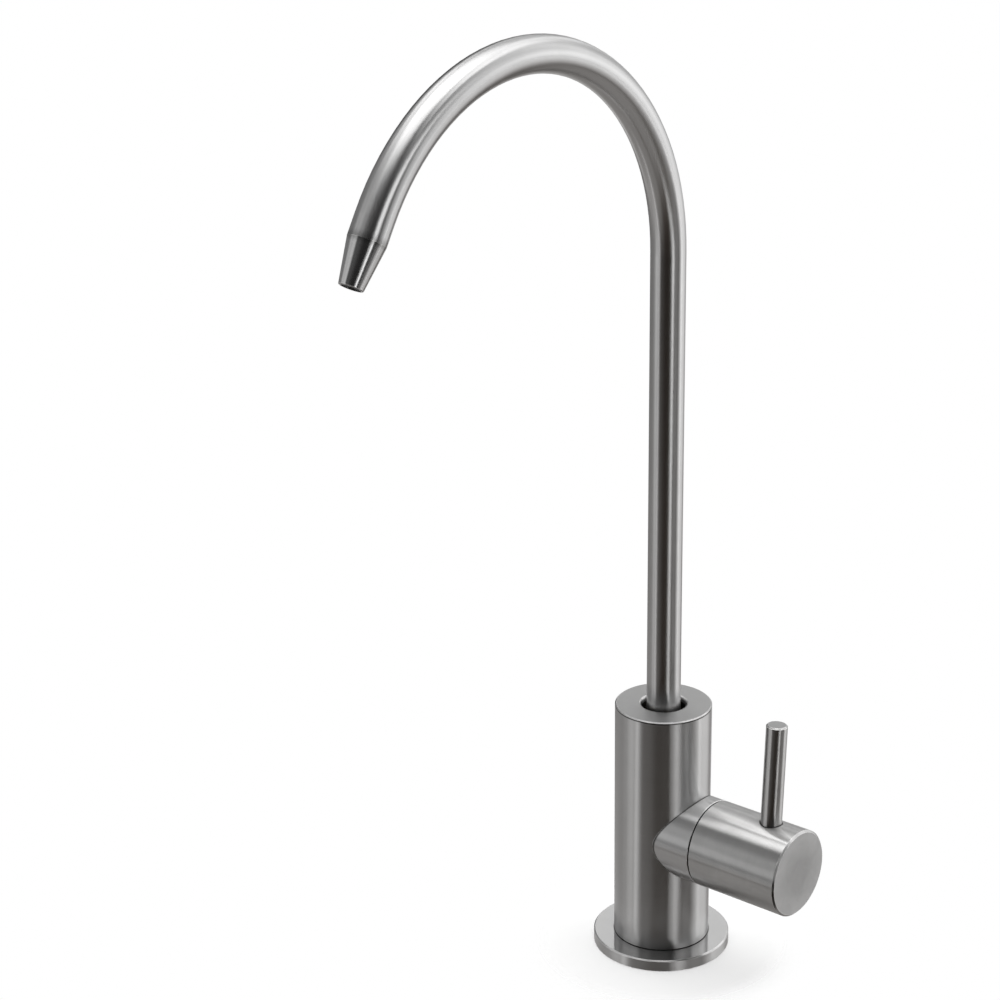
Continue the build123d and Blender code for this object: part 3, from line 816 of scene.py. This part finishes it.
def makeCamera():
    azimuth, elevation, roll = (math.radians(camera[key]) for key in ("azimuth", "elevation", "roll"))
    flat = math.cos(elevation)
    back = Vector((math.sin(azimuth) * flat, -math.cos(azimuth) * flat, math.sin(elevation)))
    level = Vector((math.cos(azimuth), math.sin(azimuth), 0))
    upright = back.cross(level)
    right = level * math.cos(roll) + upright * math.sin(roll)
    up = upright * math.cos(roll) - level * math.sin(roll)
    aim = Vector((0, 0, camera["aimHeight"])) + right * camera["aimRight"] + up * camera["aimUp"]
    data = bpy.data.cameras.new("photoCamera")
    data.sensor_width = 36
    data.lens = camera["lens"]
    data.clip_start = 0.01
    view = bpy.data.objects.new("photoCamera", data)
    bpy.context.scene.collection.objects.link(view)
    place = Matrix((right, up, back)).transposed().to_4x4()
    place.translation = aim + back * camera["distance"]
    view.matrix_world = place
    bpy.context.scene.camera = view
    print("camera: ready")


floor = {
    "radius": 100 * mm,
    "fullRadius": 20 * mm,
    "fadeRadius": 45 * mm,
    "drop": 0.2 * mm,
    "colour": (0.97, 0.97, 0.97, 1),
    "clear": 0.55,
    "clearInMirrors": 0.9,
}


def makeFloor():
    mesh = bpy.data.meshes.new("paleFloor")
    shape = bmesh.new()
    bmesh.ops.create_circle(shape, cap_ends=True, cap_tris=False, segments=96, radius=floor["radius"])
    shape.to_mesh(mesh)
    shape.free()
    ground = bpy.data.objects.new("paleFloor", mesh)
    ground.location.z = -floor["drop"]
    bpy.context.scene.collection.objects.link(ground)
    material, tree, shader = newMaterial("paleFloorCard")
    tree.nodes.remove(shader)
    position = addNode(tree, "TexCoord").outputs["Object"]
    away = addNode(tree, "VectorMath", {0: position}, operation="LENGTH").outputs["Value"]
    gone = fade(tree, away, floor["fullRadius"], floor["fadeRadius"])
    card = addNode(tree, "BsdfDiffuse", {"Color": floor["colour"]}).outputs[0]
    clear = addNode(tree, "BsdfTransparent").outputs[0]
    seen = addNode(tree, "LightPath").outputs["Is Camera Ray"]
    thin = remap(tree, seen, 0, 1, floor["clearInMirrors"], floor["clear"])
    mixed = addNode(tree, "MixShader", {0: calc(tree, "MAXIMUM", gone, thin), 1: card, 2: clear}).outputs[0]
    tree.links.new(mixed, tree.nodes["Material Output"].inputs[0])
    mesh.materials.append(material)
    print("floor: ready")


# bearing and elevation in degrees as the faucet sees them, bearing 0 towards the camera and positive to
# the right; fades are those of the sides and of the ends, and lean moves a window sideways as it rises
windows = {
    "ceiling": {
        "bearing": 180, "halfWidth": 200, "elevation": 89.5, "halfHeight": 26,
        "fades": (5, 3), "level": 2.59,
    },
    "cove": {
        "bearing": 158, "halfWidth": 98, "elevation": 55, "halfHeight": 11,
        "fades": (8, 2), "level": 1.75, "lean": 0.27,
    },
    "rearRight": {
        "bearing": 140.5, "halfWidth": 16, "elevation": 38.5, "halfHeight": 5,
        "fades": (3.5, 2), "level": 1.76,
    },
    "rearMiddle": {
        "bearing": 169, "halfWidth": 17, "elevation": 26, "halfHeight": 7.5,
        "fades": (3, 1), "level": 1.1, "lean": 0.57,
    },
    "rearTall": {
        "bearing": -154.5, "halfWidth": 12.5, "elevation": 41.5, "halfHeight": 6,
        "fades": (2, 2), "level": 1.75, "lean": 0.1,
    },
    "rearLeft": {
        "bearing": -131, "halfWidth": 16, "elevation": 41, "halfHeight": 2,
        "fades": (2, 2), "level": 1.9,
    },
    "rearEdge": {
        "bearing": 157, "halfWidth": 6, "elevation": 21.5, "halfHeight": 8.5,
        "fades": (4, 4.5), "level": 0.4, "lean": -0.14,
    },
    "rearSoft": {
        "bearing": -152, "halfWidth": 20, "elevation": 31, "halfHeight": 8,
        "fades": (6, 5), "level": 0.45,
    },
    "backRight": {
        "bearing": 138, "halfWidth": 12, "elevation": 29, "halfHeight": 8,
        "fades": (5, 5), "level": 0.45,
    },
    "rightSoft": {
        "bearing": 57, "halfWidth": 15, "elevation": 31, "halfHeight": 8,
        "fades": (6, 5), "level": 0.35,
    },
    "leftHigh": {
        "bearing": -80.5, "halfWidth": 22, "elevation": 14.5, "halfHeight": 19.5,
        "fades": (6, 6), "level": 0.69,
    },
    "leftLow": {
        "bearing": -81, "halfWidth": 17, "elevation": -8, "halfHeight": 17,
        "fades": (7.5, 3), "level": 0.6, "lean": -0.71,
    },
    "leftPane": {
        "bearing": -82.5, "halfWidth": 9.5, "elevation": -9, "halfHeight": 36.5,
        "fades": (2, 4.5), "level": 0.2, "lean": 0.38,
    },
    "leftSpot": {
        "bearing": -74.5, "halfWidth": 4.5, "elevation": -35, "halfHeight": 25,
        "fades": (2.5, 3), "level": 0.71, "lean": 0.74,
    },
    "leftSill": {
        "bearing": -74.5, "halfWidth": 31, "elevation": 54, "halfHeight": 20,
        "fades": (9.5, 17.5), "level": 0.55, "lean": -1.07,
    },
    "leftWall": {
        "bearing": -128, "halfWidth": 29.5, "elevation": 1, "halfHeight": 37.5,
        "fades": (7.5, 4), "level": 0.28,
    },
    "slimHigh": {
        "bearing": 46.5, "halfWidth": 15.5, "elevation": 14.5, "halfHeight": 7.5,
        "fades": (6, 6.5), "level": 2.52, "lean": 1.12,
    },
    "slimLow": {
        "bearing": 26.5, "halfWidth": 6.5, "elevation": -16, "halfHeight": 18,
        "fades": (1, 4), "level": 2.23, "lean": 0.51,
    },
    "rightHaze": {
        "bearing": 86, "halfWidth": 10, "elevation": 29, "halfHeight": 29,
        "fades": (4.5, 1), "level": 1.02, "lean": 0.16,
    },
    "rightGlow": {
        "bearing": 53, "halfWidth": 10, "elevation": -21, "halfHeight": 5.5,
        "fades": (2, 2.5), "level": 0.53, "lean": -0.24,
    },
    "rightSpot": {
        "bearing": 89.5, "halfWidth": 4, "elevation": -15.5, "halfHeight": 5,
        "fades": (1, 1), "level": 1.6, "lean": 0.25,
    },
    "rightHigh": {
        "bearing": 110.5, "halfWidth": 15, "elevation": 22, "halfHeight": 26.5,
        "fades": (7.5, 5), "level": 1.29, "lean": 0.12,
    },
    "rightLow": {
        "bearing": 107.5, "halfWidth": 29.5, "elevation": -13, "halfHeight": 19.5,
        "fades": (16.5, 17.5), "level": 1.28, "lean": 0.38,
    },
    "rightWall": {
        "bearing": 158, "halfWidth": 25.5, "elevation": -4.5, "halfHeight": 34,
        "fades": (3, 6), "level": 0.5, "lean": -0.85,
    },
    "floorRight": {
        "bearing": 103, "halfWidth": 93, "elevation": -89.5, "halfHeight": 46.5,
        "fades": (20.5, 3), "level": 0.36, "lean": -1.09,
    },
    "floorLeft": {
        "bearing": -105, "halfWidth": 83.5, "elevation": -85.5, "halfHeight": 58.5,
        "fades": (16, 1.5), "level": 0.34, "lean": -0.23,
    },
}
# black cards that take a share of the windows' light away
cards = {
    "front": {
        "bearing": -9.5, "halfWidth": 31.5, "elevation": -18, "halfHeight": 8.5,
        "fades": (10.5, 1), "level": 1.0, "lean": -0.29,
    },
    "right": {
        "bearing": 44.5, "halfWidth": 4.5, "elevation": -27.5, "halfHeight": 8,
        "fades": (2.5, 2), "level": 0.77, "lean": -0.07,
    },
}
# brown worktop, faint in the dark streaks
counter = {"bearing": 0, "halfWidth": 200, "elevation": -90, "halfHeight": 70, "fades": (5, 8), "level": 1}
studio = {"dim": (0.004, 0.004, 0.004), "wood": (0.026, 0.011, 0.0), "backdrop": (1, 1, 1, 1)}


def makeSoftBox():
    # one soft-edged window in the surroundings; Direction has its x towards the camera
    labels = ("Bearing", "Half Width", "Side Fade", "Elevation", "Half Height", "End Fade", "Lean", "Level")
    group, given, out = newGroup(
        "softBox", [("Direction", "Vector", None)] + [(label, "Float", 0.0) for label in labels], ["Light"]
    )
    x, y, z = splitVector(group, given["Direction"])
    bearing = calc(group, "DEGREES", calc(group, "ARCTAN2", y, x))
    elevation = calc(group, "DEGREES", calc(group, "ARCSINE", z))
    rise = calc(group, "SUBTRACT", elevation, given["Elevation"])
    middle = calc(group, "ADD", given["Bearing"], calc(group, "MULTIPLY", rise, given["Lean"]))
    aside = calc(group, "ABSOLUTE", calc(group, "WRAP", calc(group, "SUBTRACT", bearing, middle), 180.0, -180.0))
    light = given["Level"]
    for off, half, edge in (
        (aside, given["Half Width"], given["Side Fade"]),
        (calc(group, "ABSOLUTE", rise), given["Half Height"], given["End Fade"]),
    ):
        inner = calc(group, "SUBTRACT", half, edge)
        outer = calc(group, "ADD", half, edge)
        light = calc(group, "MULTIPLY", light, fade(group, off, inner, outer, 1.0, 0.0))
    group.links.new(light, out.inputs["Light"])
    return group


def softBoxLight(tree, softBox, direction, box):
    values = {
        "Direction": direction,
        "Bearing": box["bearing"],
        "Half Width": box["halfWidth"],
        "Side Fade": box["fades"][0],
        "Elevation": box["elevation"],
        "Half Height": box["halfHeight"],
        "End Fade": box["fades"][1],
        "Lean": box.get("lean", 0),
        "Level": box["level"],
    }
    return placeGroup(tree, softBox, values)["Light"]


def makeStudio():
    world = bpy.data.worlds.new("softStudio")
    bpy.context.scene.world = world
    world.use_nodes = True
    tree = world.node_tree
    background = tree.nodes["Background"]
    direction = addNode(tree, "TexCoord").outputs["Generated"]
    towardsCamera = math.radians(camera["azimuth"] - 90)
    turned = addNode(
        tree,
        "VectorRotate",
        {"Vector": direction, "Center": (0, 0, 0), "Axis": (0, 0, 1), "Angle": -towardsCamera},
        rotation_type="AXIS_ANGLE",
    ).outputs[0]
    softBox = makeSoftBox()
    total = 0.0
    for window in windows.values():
        total = calc(tree, "ADD", total, softBoxLight(tree, softBox, turned, window))
    for card in cards.values():
        kept = calc(tree, "SUBTRACT", 1.0, softBoxLight(tree, softBox, turned, card))
        total = calc(tree, "MULTIPLY", total, kept)
    seen = vectorCalc(tree, "ADD", studio["dim"], joinVector(tree, total, total, total))
    wood = softBoxLight(tree, softBox, turned, counter)
    brown = vectorCalc(tree, "MULTIPLY", studio["wood"], joinVector(tree, wood, wood, wood))
    seen = vectorCalc(tree, "ADD", seen, brown)
    # the camera itself sees a white backdrop
    colour = mixColour(tree, addNode(tree, "LightPath").outputs["Is Camera Ray"], seen, studio["backdrop"])
    tree.links.new(colour, background.inputs["Color"])
    print("studio:", len(windows), "soft windows,", len(cards), "black cards")


makeCamera()
makeFloor()
makeStudio()
dressBody()
dressFlange()
dressGooseneck()
dressHandle()
dressInside()

bpy.context.scene.view_settings.view_transform = "Standard"
